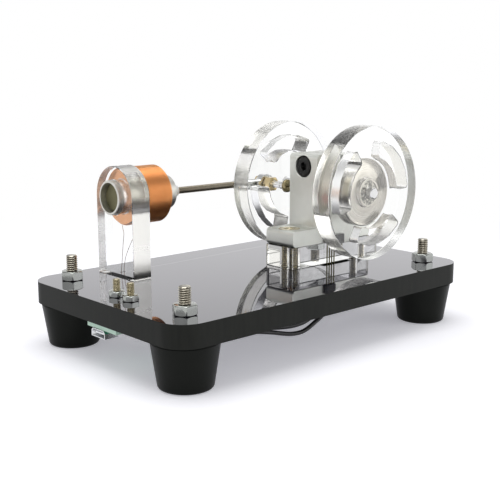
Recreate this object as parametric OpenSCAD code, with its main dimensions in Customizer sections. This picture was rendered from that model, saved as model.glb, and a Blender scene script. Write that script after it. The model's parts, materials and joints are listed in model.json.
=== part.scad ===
// Demonstration electric motor: a coil pulls a magnet plunger in and out of a tube,
// and a connecting rod and crank turn two clear flywheels. A small Hall sensor under
// the front flywheel switches the coil.
// Millimetres, +Z up. The origin is the centre of the footprint, on the table.
// +X points from the coil to the flywheels, and the shaft lies along Y.

/* [Base plate] */
// Length of the plate, along X
plate_l = 136.5; // [130:0.5:150]
// Width of the plate, along Y
plate_w = 84.5; // [80:0.5:95]
// Thickness of the plate
plate_t = 7.5; // [5:0.5:10]
// Radius of the plate's corners
plate_r = 9; // [4:0.5:12]
// Distance from the plate's edges to each foot screw
foot_inset = 11; // [10:0.5:13]

/* [Feet] */
// Height of a foot
foot_h = 15; // [12:0.5:20]
// Diameter of a foot where it meets the plate
foot_top_d = 21.5; // [18:0.5:22]
// Diameter of a foot on the table
foot_bottom_d = 17.5; // [14:0.5:18]
// Rounding of a foot's lower edge
foot_round = 1.2; // [0.5:0.1:2]
// Depth of the recess that hides a foot screw's head
foot_recess = 4; // [3.5:0.5:6]

/* [Foot screws and nuts] */
// Diameter of the large screws
screw_d = 4; // [3:0.5:4.5]
// How far a foot screw stands above the plate
stud_h = 8.6; // [6:0.2:12]
// Width across the flats of a large nut
nut_af = 7; // [6.5:0.5:8]
// Height of a large nut
nut_h = 3.2; // [2.4:0.2:4]

/* [Shaft support] */
// Distance of the shaft from the plate's centre, along X
shaft_x = 30.4; // [28:0.2:34]
// Distance of the support from the plate's centre line, along Y
support_y = -2.8; // [-5:0.2:0]
// Length of the support's foot
support_l = 42; // [40:1:46]
// Thickness of the support along the shaft
support_t = 14; // [12:1:16]
// Thickness of the support's foot
support_foot_h = 6; // [5:0.5:7]
// Width of the support's upright
support_w = 18; // [16:1:20]
// Height of the support
support_h = 32.8; // [31:0.2:36]
// Height of the shaft above the bottom of the support
shaft_h = 20; // [19:0.5:22]
// Spacing of the support's two screws
support_pitch = 32; // [30:1:34]
// Rounding of the support's outer edges
support_round = 1.5; // [0.5:0.1:2]
// Width of the clamping slit
slit_w = 1.2; // [0.8:0.1:2]
// Diameter of the clamp screw's head
clamp_head_d = 7; // [6.5:0.5:7]
// Length of the clamp screw under its head
clamp_l = 12; // [10:1:13]
// Thickness of the clear riser block
riser_h = 8; // [5:0.5:12]

/* [Shaft and bearings] */
// Diameter of the shaft
shaft_d = 4; // [3:0.5:5]
// Outer diameter of a bearing
bearing_d = 8; // [7:0.5:9]
// Width of a bearing
bearing_w = 3; // [2:0.5:4]

/* [Flywheels] */
// Diameter of a flywheel
disc_d = 47.7; // [44:0.1:50]
// Thickness of a flywheel
disc_t = 7.8; // [5:0.2:8]
// Gap between the support and the front flywheel, which holds the hub
front_gap = 11.8; // [9.6:0.2:13]
// Gap between the support and the back flywheel, which holds the crank screw's head
back_gap = 7.2; // [6:0.2:9.2]
// Inner radius of the kidney slots
slot_in_r = 12.8; // [12.6:0.2:14]
// Outer radius of the kidney slots
slot_out_r = 18.6; // [17:0.2:20]
// Angle that one kidney slot covers
slot_span = 78; // [60:2:90]
// Rounding of the slots' corners
slot_round = 1; // [0.5:0.1:2]
// Number of kidney slots
slot_n = 3; // [3:1:3]
// Angle of the front flywheel's first slot
slot_front_a = 41; // [30:1:50]
// Angle of the back flywheel's first slot
slot_back_a = 100; // [96:1:108]

/* [Trigger hub] */
// Diameter of the hub behind the front flywheel
hub_d = 24.4; // [20:0.2:25]
// Thickness of the hub's flange
hub_t = 5; // [4.5:0.5:6]
// Diameter of the spigot that centres the flywheel
spigot_d = 10.4; // [9:0.2:12]
// Length of the spigot
spigot_h = 3; // [2:0.5:4]
// Diameter of the hub's boss
boss_d = 9; // [9:0.5:11]
// Diameter of the trigger magnet
magnet_d = 3; // [2:0.5:3]
// Angle of the trigger magnet
magnet_a = 188; // [170:1:200]

/* [Crank and connecting rod] */
// Crank radius: half of the plunger's stroke
crank_r = 6.2; // [5:0.2:7.4]
// Angle of the crank at rest
crank_a = 182; // [176:1:188]
// Diameter of the crank screw
crank_d = 2.5; // [2:0.5:3]
// Bare length of the crank screw between its head and the flywheel
crank_bare = 2.6; // [1.6:0.2:3.4]
// Height of the long nut behind the flywheel
crank_nut_h = 3.5; // [2:0.5:4]
// Width across the flats of a small nut
small_af = 5; // [5:0.5:5.5]
// Height of a small nut
small_h = 2; // [1.6:0.1:2.5]
// Distance between the connecting rod's two pivots
rod_l = 59.4; // [58:0.2:62]
// Diameter of the threaded rod
rod_d = 2.5; // [2:0.5:3]
// Outer diameter of the rod end's eye
eye_d = 7.1; // [6.5:0.1:8]
// Thickness of the rod end's eye
eye_t = 3; // [2.5:0.5:4]
// Wall of the brass bush in the eye
bush_wall = 1.1; // [0.9:0.1:1.2]
// Diameter of the rod end's shank
shank_d = 3.9; // [3.8:0.1:4.4]
// Distance from the eye's centre to the end of the shank
shank_l = 12.3; // [10:0.1:14]

/* [Plunger] */
// Length of the plunger's magnet
plunger_magnet_l = 5; // [4:0.5:6]
// Length of the plunger's fork
fork_l = 6.5; // [6.5:0.5:7]
// Distance from the wrist pin to the fork's open end
wrist_inset = 3; // [2.8:0.1:3.2]
// Diameter of the wrist pin
wrist_d = 1.6; // [1.2:0.2:2]
// Thickness of the nose's tongue in the fork
tongue_t = 3.4; // [3:0.2:4]
// Diameter of the white nose
nose_d = 5.4; // [5:0.1:5.6]
// Distance from the wrist pin to the tip of the nose
nose_l = 18.5; // [17:0.5:20]

/* [Coil and tube] */
// Distance of the bracket's outer face from the plate's centre, along X
bracket_x = -43.8; // [-46:0.2:-42]
// Thickness of the bracket
bracket_t = 7.5; // [5:0.5:8]
// Width of the bracket
bracket_w = 21.5; // [20:0.5:23]
// Width of the tenon that stands in the plate
tenon_w = 15; // [12:0.5:18]
// Outer diameter of the tube
tube_d = 12; // [12:0.5:13]
// Wall of the tube
tube_wall = 0.8; // [0.6:0.1:0.8]
// Length of the tube
tube_l = 25; // [24:0.5:28]
// How far the tube stands out of the bracket
tube_lip = 2; // [1:0.5:2]
// Outer diameter of the winding
coil_d = 20.4; // [18:0.2:21]
// Length of the winding
coil_l = 10.5; // [10:0.5:12]
// Diameter of the enamelled wire
wire_d = 0.45; // [0.4:0.05:0.45]
// Pitch of the outer turns
wire_pitch = 0.9; // [0.9:0.05:1]
// Diameter of the thin coil leads
lead_d = 0.3; // [0.2:0.05:0.4]

/* [Sensor, board and terminals] */
// Width of the sensor's body
sensor_w = 5.2; // [4:0.2:6]
// Height of the sensor's body
sensor_h = 3.6; // [3:0.2:4]
// Thickness of the sensor's body
sensor_t = 1.5; // [1:0.1:1.8]
// Distance from the sensor's centre to the shaft's plane
sensor_off = 1.8; // [0:0.2:3]
// Spacing of the sensor's legs
leg_pitch = 1.27; // [1.2:0.01:1.4]
// Thickness of a sensor leg
leg_d = 0.4; // [0.3:0.05:0.5]
// Diameter of the sensor cable
cable_d = 1.6; // [1.2:0.1:1.6]
// Length of the circuit board
board_l = 20; // [18:0.5:24]
// Width of the circuit board
board_w = 16; // [15:0.5:20]
// Thickness of the circuit board
board_t = 1.6; // [1:0.2:2]
// Distance from the plate's left edge to the terminals
terminal_inset = 8.6; // [7:0.2:12]
// Distance between the two terminals
terminal_pitch = 7.7; // [7:0.1:10]
// How far a terminal screw stands above the plate
terminal_h = 5.8; // [4:0.2:8]
// Width of the supply socket
usb_w = 7.5; // [7:0.1:8]
// Height of the supply socket
usb_h = 2.7; // [2.4:0.1:3]
// Length of the supply socket
usb_l = 5.2; // [4.6:0.1:5.4]

/* [Hidden] */
$fn = 64;

// Clearances
fit = 0.05;         // a pin or thread in its bore, each side
hole_gap = 0.15;    // a screw through a plain hole, each side
slide_gap = 0.1;    // the plunger in its tube, each side
run_gap = 0.3;      // between bodies that pass each other
seat_gap = 0.1;     // a tenon or a leg in its slot, each side
over = 1;           // how far a cutting tool runs past a face
corner_over = 0.03; // how far a slot's corner circle crosses the walls it rounds

// Standard proportions of fasteners
head_d_k = 2;       // head diameter over screw diameter
head_h_k = 0.65;    // pan head height over screw diameter
tip = 0.4;          // chamfer at the end of a screw
root_k = 0.81;      // root diameter of a thread over its outer diameter
thread_gap = 0.3;   // from a nut to the full thread that stands out of it
recess_w_k = 0.16;  // cross recess slot over head diameter
recess_l_k = 0.55;  // cross recess length over head diameter

// Levels
plate_z = foot_h;
plate_top = plate_z + plate_t;
support_z = plate_top + riser_h;
shaft_z = support_z + shaft_h;

// Places along Y
support_front = support_y - support_t / 2;
support_back = support_y + support_t / 2;
front_disc_y = support_front - front_gap - disc_t;
back_disc_y = support_back + back_gap;
back_face = back_disc_y + disc_t;
rod_y = back_face + crank_nut_h + run_gap + eye_t / 2;

// Crank mechanism at rest
pin_x = shaft_x + crank_r * cos(crank_a);
pin_z = shaft_z + crank_r * sin(crank_a);
wrist_x = pin_x - sqrt(pow(rod_l, 2) - pow(pin_z - shaft_z, 2));
rod_a = asin((pin_z - shaft_z) / rod_l);

// Shaft support
block_x0 = shaft_x - support_l / 2;
clamp_z = (shaft_z + bearing_d / 2 + support_z + support_h) / 2 - 0.2;
clamp_head_h = screw_d;
upright_x0 = shaft_x - support_w / 2;

// Hub
hub_y = front_disc_y + disc_t;
boss_end = support_front - run_gap;
grub_d = 3;
magnet_l = 2.5;

// Crank screw
crank_head_y = back_disc_y - crank_bare;
crank_end_y = back_face + crank_nut_h;

// Bush: its bore has the running fit of the crank pin
bush_d = crank_d + 2 * fit + 2 * bush_wall;

// Plunger
tube_bore = tube_d - 2 * tube_wall;
plunger_d = tube_bore - 2 * slide_gap;
fork_end = wrist_x + wrist_inset;
fork_start = fork_end - fork_l;
tongue_gap = 0.3;
nose_neck = wrist_inset + 1;
nose_cone = 1.5;
rod_in_nose = 7;
rod_in_shank = 6;

// Coil
bracket_back = bracket_x + bracket_t;
tube_x = bracket_x - tube_lip;
ring_n = 24;
wire_sides = 6;
lead_sides = 8;
coil_r = coil_d / 2 - wire_d / 2;
wire_gap = coil_r * (1 - cos(180 / ring_n)) + 0.03; // clears the chords of the turns
core_d = coil_d - 2 * wire_d - 2 * wire_gap;
cheek = 0.3;
turns = floor((coil_l - wire_d - 2 * cheek) / wire_pitch);
coil_x0 = bracket_back + (coil_l - turns * wire_pitch) / 2;

// Sensor
sensor_x = shaft_x - sensor_off;
sensor_z = support_z;
leg_n = 4;
slot_l = 15;
slot_w = 3;
sleeve_h = 4;
sleeve_side = 0.9;  // from an outer leg to the sleeve's end
sleeve_w = leg_pitch * (leg_n - 1) + 2 * sleeve_side;
sleeve_t = 2.4;
leg_drop = 2;

// Board and terminals
board_x0 = -plate_l / 2 + 0.6;
board_y = -2.1;
board_z = plate_z - board_t;
terminal_x = -plate_l / 2 + terminal_inset;
terminal_y = -3.1;
terminal_d = 2.5;
usb_x0 = -plate_l / 2 + 0.3;
usb_y = -0.5;
usb_wall = 0.3;

// Thin leads from the winding to two holes in the plate
lead_hole_d = 1;
lead_a = [
    [-35.4, 26, 40.2], [-35.4, 25.8, 39], [-35.2, 25.6, 37.6], [-35, 26, 35.6], [-34.8, 26.8, 33],
    [-34.6, 27.5, 30], [-34.3, 28.4, 26.6], [-34.1, 29.1, 24], [-34, 29.4, 22.4], [-34, 29.4, 15]
];
lead_b = [
    [-31.5, 23, 40.2], [-31.6, 23.2, 39], [-31.8, 23.8, 37], [-32.2, 24.9, 34.6], [-32.5, 26.6, 31.6],
    [-32.7, 28.4, 28], [-32.7, 29.3, 25], [-32.7, 29.6, 22.6], [-32.7, 29.6, 15]
];

// Routes of the sensor cable's two strands, from the sleeve under the plate to the board
cable_a = [
    [29.6, -10.5, 11], [29.6, -10.5, 9.4], [29.5, -10.6, 8.2], [29, -10.8, 7], [27.9, -11.3, 5.8],
    [26.2, -12, 5.1], [24, -13, 4.9], [21, -14.4, 4.8], [17.8, -15.7, 4.4], [14.8, -16.2, 3.5],
    [12.4, -16.3, 2.5], [10, -16.3, 1.6], [7, -16.3, 1.1], [2.4, -16.3, 1.4], [-2, -16.2, 2.4],
    [-7, -15.8, 3.7], [-13.5, -14.9, 5], [-20, -13.6, 6.2], [-27, -11.8, 7.4], [-34, -9.8, 8.3],
    [-40.5, -7.8, 8.9], [-44, -6.6, 9], [-46.4, -5.7, 9.3], [-47.9, -5.1, 10.1], [-48.9, -4.7, 11.4],
    [-49.2, -4.6, 12.7], [-49.2, -4.6, 13.4]
];
cable_b = [
    [27.6, -10.5, 11], [27.6, -10.5, 10.1], [27.4, -10.6, 8.9], [26.8, -10.9, 7.9], [25.6, -11.4, 7.1],
    [23.6, -12.3, 6.8], [20.6, -13.5, 6.6], [16.4, -14.8, 6], [12.4, -15.3, 4.9], [9, -15.4, 4.1],
    [4, -15.4, 3.9], [-1, -14.9, 4.2], [-7, -14, 4.9], [-13.5, -13, 5.9], [-20, -11.7, 7],
    [-27, -9.9, 8], [-34, -7.8, 8.8], [-40.5, -5.5, 9], [-44, -4.1, 9], [-46.4, -3.1, 9.3],
    [-47.9, -2.5, 10.1], [-48.9, -2.1, 11.4], [-49.2, -2, 12.7], [-49.2, -2, 13.4]
];

// ---------- helpers ----------

// Turns a shape that is built along Z so that it lies along X
module along_x() { rotate([0, 90, 0]) children(); }

// Turns a shape that is built along Z so that it lies along Y
module along_y() { rotate([-90, 0, 0]) children(); }

// Flat rectangle with round corners, from its own lower left corner
module round_rect(w, h, r) {
    translate([r, 0]) square([w - 2 * r, h]);
    translate([0, r]) square([w, h - 2 * r]);
    for (x = [r, w - r], y = [r, h - r]) translate([x, y]) circle(r);
}

// Cross recess of a screw, cut down from z = 0
module cross_recess(head_d) {
    w = head_d * recess_w_k;
    l = head_d * recess_l_k;
    depth = head_d * 0.2;
    for (a = [0, 90]) rotate(a) translate([-l / 2, -w / 2, -depth]) cube([l, w, depth + over]);
}

// Pan head screw: the head stands on z = 0 and the shank hangs down. Its last stretch,
// end_len, is drawn at the thread's outer diameter, and what its nut grips at the root diameter.
module pan_screw(d, len, head_d, head_h, end_len) {
    steps = 6;
    grip = end_len < len ? d / 2 * root_k : d / 2;
    difference() {
        rotate_extrude() polygon(concat(
            [[0, -len], [d / 2 - tip, -len], [d / 2, -len + tip]],
            end_len < len ? [[d / 2, end_len - len], [grip, end_len - len]] : [],
            [[grip, 0]],
            [for (i = [0:steps]) let (a = 90 * i / steps)
                [head_d / 2 * cos(a), head_h * (0.35 + 0.65 * sin(a)) * (i == 0 ? 0 : 1)]]
        ));
        translate([0, 0, head_h]) cross_recess(head_d);
    }
}

// Hexagon nut with chamfered corners, standing on z = 0
module hex_nut(af, h, bore) {
    corner = af / cos(30) / 2;
    cut = 0.35;
    difference() {
        intersection() {
            cylinder(r = corner, h = h, $fn = 6);
            rotate_extrude() polygon([
                [0, 0], [corner - 2 * cut, 0], [corner + 0.1, cut + 0.05],
                [corner + 0.1, h - cut - 0.05], [corner - 2 * cut, h], [0, h]
            ]);
        }
        translate([0, 0, -over]) cylinder(d = bore, h = h + 2 * over);
    }
}

// Sector of a ring, as a flat shape
module ring_sector(r_in, r_out, half_a) {
    reach = r_out * 1.5;
    intersection() {
        difference() {
            circle(r_out);
            circle(r_in);
        }
        polygon([
            [0, 0], [reach * cos(half_a), -reach * sin(half_a)],
            [reach, 0], [reach * cos(half_a), reach * sin(half_a)]
        ]);
    }
}

// Kidney slot with round corners, centred on the X axis.
// Each corner circle crosses its two walls, because walls that only touch leave slivers.
module kidney(r_in, r_out, span, r) {
    in_a = asin(r / (r_in + r));
    out_a = asin(r / (r_out - r));
    ring_sector(r_in + r, r_out - r, span / 2);
    ring_sector(r_in, r_out - r, span / 2 - in_a);
    ring_sector(r_in + r, r_out, span / 2 - out_a);
    for (s = [-1, 1]) {
        rotate(s * (span / 2 - in_a)) translate([r_in + r, 0]) circle(r + corner_over);
        rotate(s * (span / 2 - out_a)) translate([r_out - r, 0]) circle(r + corner_over);
    }
}

function unit(v) = v / norm(v);

// Direction of a route at point i
function heading(p, i) = unit(p[min(i + 1, len(p) - 1)] - p[max(i - 1, 0)]);

// Side vectors carried along a route without twist
function sides_along(p, first) = [
    for (i = 0, s = unit(cross(cross(heading(p, 0), first), heading(p, 0)));
         i < len(p);
         i = i + 1, s = i < len(p) ? unit(s - heading(p, i) * (s * heading(p, i))) : s) s
];

// One unbroken tube along a route
module sweep_tube(p, d, sides, first) {
    side = sides_along(p, first);
    n = len(p);
    rings = [
        for (i = [0:n - 1]) let (s = side[i], u = cross(heading(p, i), s))
            for (k = [0:sides - 1]) p[i] + d / 2 * (cos(360 * k / sides) * s + sin(360 * k / sides) * u)
    ];
    walls = [
        for (i = [0:n - 2], k = [0:sides - 1])
            let (a = i * sides + k, b = i * sides + (k + 1) % sides)
                each [[a, b, a + sides], [b, b + sides, a + sides]]
    ];
    start = [for (k = [1:sides - 2]) [0, k + 1, k]];
    end = [for (k = [1:sides - 2]) [(n - 1) * sides, (n - 1) * sides + k, (n - 1) * sides + k + 1]];
    polyhedron(points = rings, faces = [for (f = concat(walls, start, end)) [f[2], f[1], f[0]]]);
}

// Places that repeat
module at_feet() {
    for (x = [-1, 1], y = [-1, 1])
        translate([x * (plate_l / 2 - foot_inset), y * (plate_w / 2 - foot_inset), 0]) children();
}

module at_support_screws() {
    for (s = [-1, 1]) translate([shaft_x + s * support_pitch / 2, support_y, 0]) children();
}

module at_terminals() {
    for (s = [-1, 1]) translate([terminal_x, terminal_y + s * terminal_pitch / 2, 0]) children();
}

// From the wrist pin, with X along the connecting rod
module at_wrist() { translate([wrist_x, rod_y, shaft_z]) rotate([0, -rod_a, 0]) children(); }

// ---------- base ----------

// Black plate with all its holes
module base_plate() {
    color([0.05, 0.05, 0.06])
    difference() {
        translate([-plate_l / 2, -plate_w / 2, plate_z]) linear_extrude(plate_t)
            round_rect(plate_l, plate_w, plate_r);
        at_feet() through_hole(screw_d);
        at_support_screws() through_hole(screw_d);
        at_terminals() through_hole(terminal_d);
        translate([bracket_x - seat_gap, rod_y - tenon_w / 2 - seat_gap, plate_z - over])
            cube([bracket_t + 2 * seat_gap, tenon_w + 2 * seat_gap, plate_t + 2 * over]);
        translate([shaft_x - slot_l / 2, support_front - slot_w, plate_z - over])
            cube([slot_l, slot_w, plate_t + 2 * over]);
        for (p = [lead_a[len(lead_a) - 1], lead_b[len(lead_b) - 1]])
            translate([p[0], p[1], plate_z - over]) cylinder(d = lead_hole_d, h = plate_t + 2 * over);
    }
}

// Plain screw hole through the plate
module through_hole(d) {
    translate([0, 0, plate_z - over]) cylinder(d = d + 2 * hole_gap, h = plate_t + 2 * over);
}

// Four tapered feet, each with a recess for its screw's head
module feet() {
    r0 = foot_bottom_d / 2;
    r1 = foot_top_d / 2;
    bore = screw_d / 2 + hole_gap;
    recess = screw_d * head_d_k / 2 + 0.4;
    steps = 4;
    color([0.07, 0.07, 0.07])
    at_feet() rotate_extrude() polygon(concat(
        [[recess, foot_recess], [recess, 0]],
        [for (i = [0:steps]) let (a = -90 + 80 * i / steps)
            [r0 - foot_round + foot_round * cos(a), foot_round + foot_round * sin(a)]],
        [[r1, foot_h - foot_round / 2], [r1 - foot_round / 3, foot_h], [bore, foot_h], [bore, foot_recess]]
    ));
}

// Four screws, from the feet up through the plate
module foot_screws() {
    color([0.75, 0.7, 0.58])
    at_feet() translate([0, 0, foot_recess]) rotate([180, 0, 0])
        pan_screw(screw_d, plate_top + stud_h - foot_recess, screw_d * head_d_k, screw_d * head_h_k,
            stud_h - nut_h - thread_gap);
}

// Four nuts on top of the plate
module foot_nuts() {
    color([0.72, 0.76, 0.78])
    at_feet() translate([0, 0, plate_top]) hex_nut(nut_af, nut_h, screw_d * root_k + 2 * fit);
}

// ---------- shaft support ----------

// Clear block between the plate and the support
module riser_block() {
    color([0.85, 0.9, 0.92, 0.4])
    difference() {
        translate([block_x0, support_front, plate_top]) cube([support_l, support_t, riser_h]);
        at_support_screws() translate([0, 0, plate_top - over])
            cylinder(d = screw_d + 2 * hole_gap, h = riser_h + 2 * over);
    }
}

// Aluminium support: foot, upright, bore, clamping slit and screw holes
module shaft_support() {
    color([0.78, 0.79, 0.8])
    difference() {
        translate([0, support_back, support_z]) rotate([90, 0, 0]) linear_extrude(support_t) difference() {
            union() {
                translate([block_x0, 0]) round_rect(support_l, support_foot_h, support_round);
                translate([upright_x0, 0]) round_rect(support_w, support_h, support_round);
            }
            translate([shaft_x, shaft_h]) circle(d = bearing_d);
            translate([shaft_x - slit_w / 2, shaft_h]) square([slit_w, support_h]);
        }
        at_support_screws() translate([0, 0, support_z]) {
            translate([0, 0, -over]) cylinder(d = screw_d + 2 * hole_gap, h = support_foot_h + 2 * over);
            translate([0, 0, support_foot_h - screw_d / 2 - hole_gap])
                cylinder(d1 = screw_d + 2 * hole_gap, d2 = screw_d * head_d_k + 6 * hole_gap,
                    h = screw_d / 2 + 2 * hole_gap);
        }
        translate([upright_x0 - over, support_y, clamp_z]) along_x() {
            cylinder(d = screw_d + 2 * fit, h = clamp_head_h + clamp_l + over + 0.5);
            cylinder(d = clamp_head_d + 1, h = clamp_head_h + over);
        }
    }
}

// Two countersunk screws through the foot, the riser and the plate
module support_screws() {
    len = support_foot_h + riser_h + plate_t + nut_h + 1;
    head_h = screw_d / 2;
    head_d = screw_d * head_d_k;
    color([0.8, 0.72, 0.5])
    at_support_screws() translate([0, 0, support_z + support_foot_h - 0.1]) difference() {
        rotate_extrude() polygon([
            [0, -len], [screw_d / 2 - tip, -len], [screw_d / 2, -len + tip],
            [screw_d / 2, -head_h], [head_d / 2, 0], [0, 0]
        ]);
        cross_recess(head_d);
    }
}

// Two nuts under the plate
module support_nuts() {
    color([0.72, 0.76, 0.78])
    at_support_screws() translate([0, 0, plate_z - nut_h]) hex_nut(nut_af, nut_h, screw_d + 2 * fit);
}

// Black socket head screw that closes the slit
module clamp_screw() {
    color([0.06, 0.06, 0.06])
    translate([upright_x0, support_y, clamp_z]) along_x() difference() {
        union() {
            translate([0, 0, 0.2]) cylinder(d = clamp_head_d, h = clamp_head_h - 0.2);
            cylinder(d = clamp_head_d - 0.6, h = 0.3);
            cylinder(d = screw_d, h = clamp_head_h + clamp_l);
        }
        translate([0, 0, -over]) cylinder(d = screw_d * 0.75 / cos(30), h = screw_d * 0.5 + over, $fn = 6);
    }
}

// ---------- shaft, flywheels and hub ----------

// Two ball bearings, flush with the support's faces
module bearings() {
    ri = shaft_d / 2 + fit;
    ro = bearing_d / 2 - 0.02;
    groove = 0.3;
    ring = (ro - ri) / 3.5;
    color([0.7, 0.71, 0.73])
    for (y = [support_front, support_back - bearing_w])
        translate([shaft_x, y, shaft_z]) along_y() rotate_extrude() polygon([
            [ri, 0], [ri + ring, 0], [ri + ring, groove], [ro - ring, groove], [ro - ring, 0], [ro, 0],
            [ro, bearing_w], [ro - ring, bearing_w], [ro - ring, bearing_w - groove],
            [ri + ring, bearing_w - groove], [ri + ring, bearing_w], [ri, bearing_w]
        ]);
}

// Steel shaft, flush with the outer faces of both flywheels
module shaft() {
    len = back_face - front_disc_y;
    r = shaft_d / 2;
    color([0.85, 0.85, 0.86])
    translate([shaft_x, front_disc_y, shaft_z]) along_y() rotate_extrude()
        polygon([[0, 0], [r - 0.3, 0], [r, 0.3], [r, len - 0.3], [r - 0.3, len], [0, len]]);
}

// Clear disc with kidney slots. first_a is the angle of its first slot.
module flywheel_disc(first_a) {
    rotate([90, 0, 0]) linear_extrude(disc_t) difference() {
        circle(d = disc_d, $fn = 128);
        circle(d = shaft_d + 2 * fit);
        for (k = [0:slot_n - 1]) rotate(first_a + 360 / slot_n * k)
            kidney(slot_in_r, slot_out_r, slot_span, slot_round);
    }
}

// Front flywheel, with a counterbore for the hub's spigot
module flywheel_front() {
    color([0.85, 0.9, 0.92, 0.4])
    difference() {
        translate([shaft_x, front_disc_y + disc_t, shaft_z]) flywheel_disc(slot_front_a);
        translate([shaft_x, front_disc_y + disc_t - spigot_h - fit, shaft_z]) along_y()
            cylinder(d = spigot_d + 2 * fit, h = spigot_h + fit + over);
    }
}

// Back flywheel, with the hole for the crank screw
module flywheel_back() {
    color([0.85, 0.9, 0.92, 0.4])
    difference() {
        translate([shaft_x, back_face, shaft_z]) flywheel_disc(slot_back_a);
        translate([pin_x, back_disc_y - over, pin_z]) along_y()
            cylinder(d = crank_d + 2 * fit, h = disc_t + 2 * over);
    }
}

// Turned hub: spigot, flange and boss
module trigger_hub() {
    bore = shaft_d / 2 + fit;
    len = boss_end - hub_y;
    edge = 0.4;
    color([0.8, 0.78, 0.75])
    difference() {
        translate([shaft_x, hub_y, shaft_z]) along_y() rotate_extrude() polygon([
            [bore, -spigot_h], [spigot_d / 2, -spigot_h], [spigot_d / 2, 0],
            [hub_d / 2 - edge, 0], [hub_d / 2, edge], [hub_d / 2, hub_t - edge], [hub_d / 2 - edge, hub_t],
            [boss_d / 2, hub_t], [boss_d / 2, len - edge], [boss_d / 2 - edge, len], [bore, len]
        ]);
        at_magnet() cylinder(d = magnet_d + 2 * fit, h = magnet_l + over);
        at_grub() cylinder(d = grub_d + 2 * fit, h = boss_d);
    }
}

// Seat of the magnet in the rim, with Z pointing outwards
module at_magnet() {
    translate([shaft_x, hub_y + hub_t / 2, shaft_z]) rotate([0, -magnet_a, 0])
        translate([hub_d / 2 - magnet_l, 0, 0]) along_x() children();
}

// Seat of the grub screw in the boss, with Z pointing up
module at_grub() {
    translate([shaft_x, (hub_y + hub_t + boss_end) / 2, shaft_z + shaft_d / 2 + fit]) children();
}

// Small screw that fixes the hub to the shaft
module hub_grub_screw() {
    len = (boss_d - shaft_d) / 2;
    color([0.1, 0.1, 0.1])
    at_grub() difference() {
        cylinder(d = grub_d, h = len);
        translate([0, 0, len - 1.2]) cylinder(d = 1.7, h = 1.2 + over, $fn = 6);
    }
}

// Small magnet in the hub's rim that the sensor feels
module trigger_magnet() {
    color([0.75, 0.45, 0.4])
    at_magnet() cylinder(d = magnet_d, h = magnet_l - 0.1);
}

// Long screw through the back flywheel: the crank pin
module crank_screw() {
    len = crank_end_y - crank_head_y;
    color([0.72, 0.6, 0.38])
    translate([pin_x, crank_head_y, pin_z]) rotate([90, 0, 0])
        pan_screw(crank_d, len, crank_d * head_d_k, crank_d * head_h_k, len);
}

// Long nut that locks the crank screw behind the flywheel
module crank_nut() {
    color([0.78, 0.6, 0.3])
    translate([pin_x, back_face, pin_z]) along_y() hex_nut(small_af, crank_nut_h, crank_d + 2 * fit);
}

// ---------- connecting rod ----------

// Rod end: an eye on a hollow shank
module rod_end() {
    color([0.8, 0.81, 0.82])
    at_wrist() difference() {
        union() {
            translate([rod_l, -eye_t / 2, 0]) along_y() cylinder(d = eye_d, h = eye_t);
            intersection() {
                translate([rod_l - shank_l, 0, 0]) along_x() cylinder(d = shank_d, h = shank_l - eye_d / 4);
                translate([rod_l - shank_l, -eye_t / 2, -shank_d])
                    cube([shank_l, eye_t, 2 * shank_d]);
            }
            translate([rod_l - shank_l, 0, 0]) along_x() cylinder(d = eye_t, h = shank_l - eye_d / 4);
        }
        translate([rod_l, -eye_t / 2 - over, 0]) along_y()
            cylinder(d = bush_d + 2 * fit, h = eye_t + 2 * over);
        translate([rod_l - shank_l - over, 0, 0]) along_x()
            cylinder(d = rod_d + 0.04, h = rod_in_shank + over);
    }
}

// Brass bush in the eye
module rod_bush() {
    color([0.7, 0.45, 0.22])
    at_wrist() translate([rod_l, -eye_t / 2, 0]) along_y() difference() {
        cylinder(d = bush_d, h = eye_t);
        translate([0, 0, -over]) cylinder(d = crank_d + 2 * fit, h = eye_t + 2 * over);
    }
}

// End of the crank pin that turns in the bush
module rod_pin() {
    len = eye_t + small_h + 1;
    color([0.72, 0.6, 0.38])
    at_wrist() translate([rod_l, -eye_t / 2, 0]) along_y() rotate_extrude()
        polygon([[0, 0], [crank_d / 2, 0], [crank_d / 2, len - tip], [crank_d / 2 - tip, len], [0, len]]);
}

// Nut that keeps the eye on its pin
module rod_nut() {
    color([0.78, 0.6, 0.3])
    at_wrist() translate([rod_l, eye_t / 2 + 0.1, 0]) along_y() hex_nut(small_af, small_h, crank_d + 2 * fit);
}

// Threaded rod between the nose and the rod end
module connecting_rod() {
    x0 = nose_l - rod_in_nose;
    len = rod_l - shank_l + rod_in_shank - x0;
    r = rod_d / 2;
    color([0.5, 0.46, 0.38])
    at_wrist() translate([x0, 0, 0]) along_x() rotate_extrude()
        polygon([[0, 0], [r - 0.3, 0], [r, 0.3], [r, len - 0.3], [r - 0.3, len], [0, len]]);
}

// White nose: a tongue with the wrist hole, and a round socket for the rod
module rod_nose() {
    tongue_h = nose_d - 1;
    color([0.93, 0.92, 0.88])
    at_wrist() difference() {
        union() {
            translate([0, -tongue_t / 2, 0]) along_y() cylinder(d = tongue_h, h = tongue_t);
            translate([0, -tongue_t / 2, -tongue_h / 2]) cube([nose_neck + 1, tongue_t, tongue_h]);
            translate([nose_neck, 0, 0]) along_x() rotate_extrude() polygon([
                [0, 0], [nose_d / 2, 0], [nose_d / 2, nose_l - nose_neck - nose_cone],
                [nose_d / 2 - nose_cone / 2, nose_l - nose_neck], [0, nose_l - nose_neck]
            ]);
        }
        translate([0, -tongue_t, 0]) along_y() cylinder(d = wrist_d + 2 * fit, h = 2 * tongue_t);
        translate([nose_l - rod_in_nose, 0, 0]) along_x() cylinder(d = rod_d + 0.04, h = rod_in_nose + over);
    }
}

// ---------- plunger ----------

// Pin across the fork
module wrist_pin() {
    len = plunger_d - 1;
    color([0.8, 0.8, 0.8])
    translate([wrist_x, rod_y - len / 2, shaft_z]) along_y() cylinder(d = wrist_d, h = len);
}

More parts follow.
